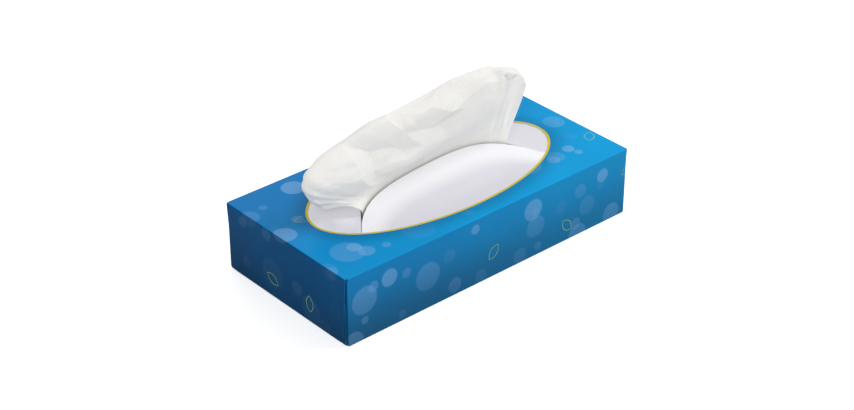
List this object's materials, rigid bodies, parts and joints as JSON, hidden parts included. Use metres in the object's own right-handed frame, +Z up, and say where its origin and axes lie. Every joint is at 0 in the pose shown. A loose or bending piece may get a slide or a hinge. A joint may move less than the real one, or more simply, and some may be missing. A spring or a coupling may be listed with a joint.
{
  "type": "tissue box",
  "caption": "Flat rectangular carton of facial tissues with an oval film window in its top, slit so that a gathered tissue stands up ready to be pulled.",
  "frame": {"origin": "centre of the carton's base, on the table", "axes": "+X along the carton's long side, +Z up, and -Y towards the long side that the film's tongue hinges on"},
  "size_m": [0.23, 0.1146, 0.1054],
  "materials": {
    "printed_board": "satin",
    "film": "gloss",
    "tissue": "matte"
  },
  "bodies": {
    "root": {"carton": "printed_board", "window_film": "film", "tissue_stack": "tissue", "popup_tissue": "tissue"}
  },
  "joints": []
}
